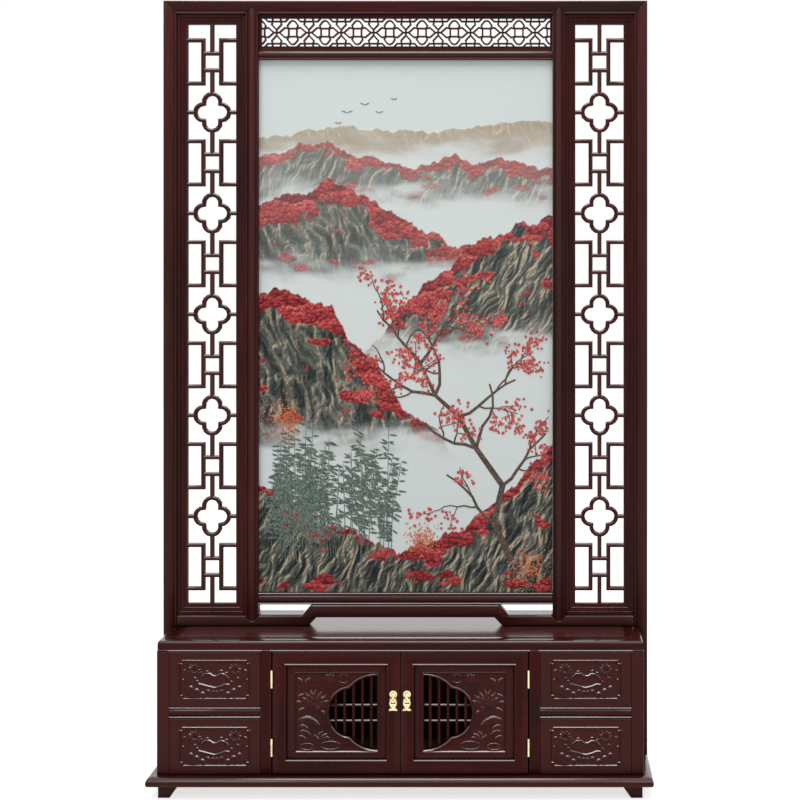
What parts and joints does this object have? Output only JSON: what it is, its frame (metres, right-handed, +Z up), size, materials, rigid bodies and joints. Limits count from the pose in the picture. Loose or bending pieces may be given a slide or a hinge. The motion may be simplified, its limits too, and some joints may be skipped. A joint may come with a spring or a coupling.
{
  "type": "embroidered screen cabinet",
  "caption": "Dark rosewood cabinet with hinged doors and drawers on bracket feet, carrying a fretwork standing screen with a framed silk embroidery.",
  "frame": {"origin": "centre of the footprint, on the floor under the feet", "axes": "+Z up, +X to the right seen from the front, +Y to the back"},
  "size_m": [1.2, 0.38, 1.915],
  "materials": {
    "rosewood": "polished dark red-brown rosewood",
    "screen_wood": "polished rosewood, a little greyer",
    "inner_wood": "plain oiled wood",
    "brass": "satin pale brass",
    "silk": "woven silk with raised satin stitch",
    "board": "thin bare board"
  },
  "bodies": {
    "cabinet": {"foot_front_left": "rosewood", "foot_front_right": "rosewood", "foot_back_left": "rosewood", "foot_back_right": "rosewood", "plinth_frame": "rosewood", "cabinet_floor": "inner_wood", "corner_post_front_left": "rosewood", "corner_post_front_right": "rosewood", "corner_post_back_left": "rosewood", "corner_post_back_right": "rosewood", "top_frame": "rosewood", "top_panel": "rosewood", "partition_left": "rosewood", "partition_right": "rosewood", "drawer_divider_left": "rosewood", "drawer_divider_right": "rosewood", "side_panel_left": "rosewood", "side_panel_right": "rosewood", "back_panel": "rosewood", "screen_post_left": "screen_wood", "screen_post_right": "screen_wood", "inner_post_left": "screen_wood", "inner_post_right": "screen_wood", "crest_rail": "screen_wood", "picture_top_rail": "screen_wood", "picture_bottom_rail": "screen_wood", "hump_rail": "screen_wood", "lattice_left": "screen_wood", "lattice_right": "screen_wood", "top_fret": "screen_wood", "embroidery": "silk", "backing_board": "board", "hinge_fixed_leaf_lower_left": "brass", "hinge_fixed_leaf_upper_left": "brass", "hinge_fixed_leaf_lower_right": "brass", "hinge_fixed_leaf_upper_right": "brass"},
    "door_left": {"door_frame_left": "rosewood", "door_panel_left": "rosewood", "door_grille_left": "rosewood", "hinge_door_leaf_lower_left": "brass", "hinge_door_leaf_upper_left": "brass", "pull_plate_left": "brass"},
    "door_right": {"door_frame_right": "rosewood", "door_panel_right": "rosewood", "door_grille_right": "rosewood", "hinge_door_leaf_lower_right": "brass", "hinge_door_leaf_upper_right": "brass", "pull_plate_right": "brass"},
    "pull_left": {"pull_drop_left": "brass"},
    "pull_right": {"pull_drop_right": "brass"},
    "drawer_lower_left": {"drawer_front_lower_left": "rosewood", "drawer_box_lower_left": "inner_wood"},
    "drawer_upper_left": {"drawer_front_upper_left": "rosewood", "drawer_box_upper_left": "inner_wood"},
    "drawer_lower_right": {"drawer_front_lower_right": "rosewood", "drawer_box_lower_right": "inner_wood"},
    "drawer_upper_right": {"drawer_front_upper_right": "rosewood", "drawer_box_upper_right": "inner_wood"}
  },
  "joints": [
    {"name": "door_left_hinge", "type": "hinge", "parent": "cabinet", "child": "door_left", "pos_m": [-0.3044, -0.1693, 0.201], "axis": [0, 0, -1], "range_deg": [0, 95]},
    {"name": "door_right_hinge", "type": "hinge", "parent": "cabinet", "child": "door_right", "pos_m": [0.3044, -0.1693, 0.201], "axis": [0, 0, 1], "range_deg": [0, 95]},
    {"name": "pull_left_swing", "type": "hinge", "parent": "door_left", "child": "pull_left", "pos_m": [-0.01625, -0.172, 0.2465], "axis": [-1, 0, 0], "range_deg": [0, 80]},
    {"name": "pull_right_swing", "type": "hinge", "parent": "door_right", "child": "pull_right", "pos_m": [0.01625, -0.172, 0.2465], "axis": [-1, 0, 0], "range_deg": [0, 80]},
    {"name": "drawer_lower_left_slide", "type": "slide", "parent": "cabinet", "child": "drawer_lower_left", "axis": [0, -1, 0], "range_m": [0, 0.2]},
    {"name": "drawer_upper_left_slide", "type": "slide", "parent": "cabinet", "child": "drawer_upper_left", "axis": [0, -1, 0], "range_m": [0, 0.2]},
    {"name": "drawer_lower_right_slide", "type": "slide", "parent": "cabinet", "child": "drawer_lower_right", "axis": [0, -1, 0], "range_m": [0, 0.2]},
    {"name": "drawer_upper_right_slide", "type": "slide", "parent": "cabinet", "child": "drawer_upper_right", "axis": [0, -1, 0], "range_m": [0, 0.2]}
  ]
}
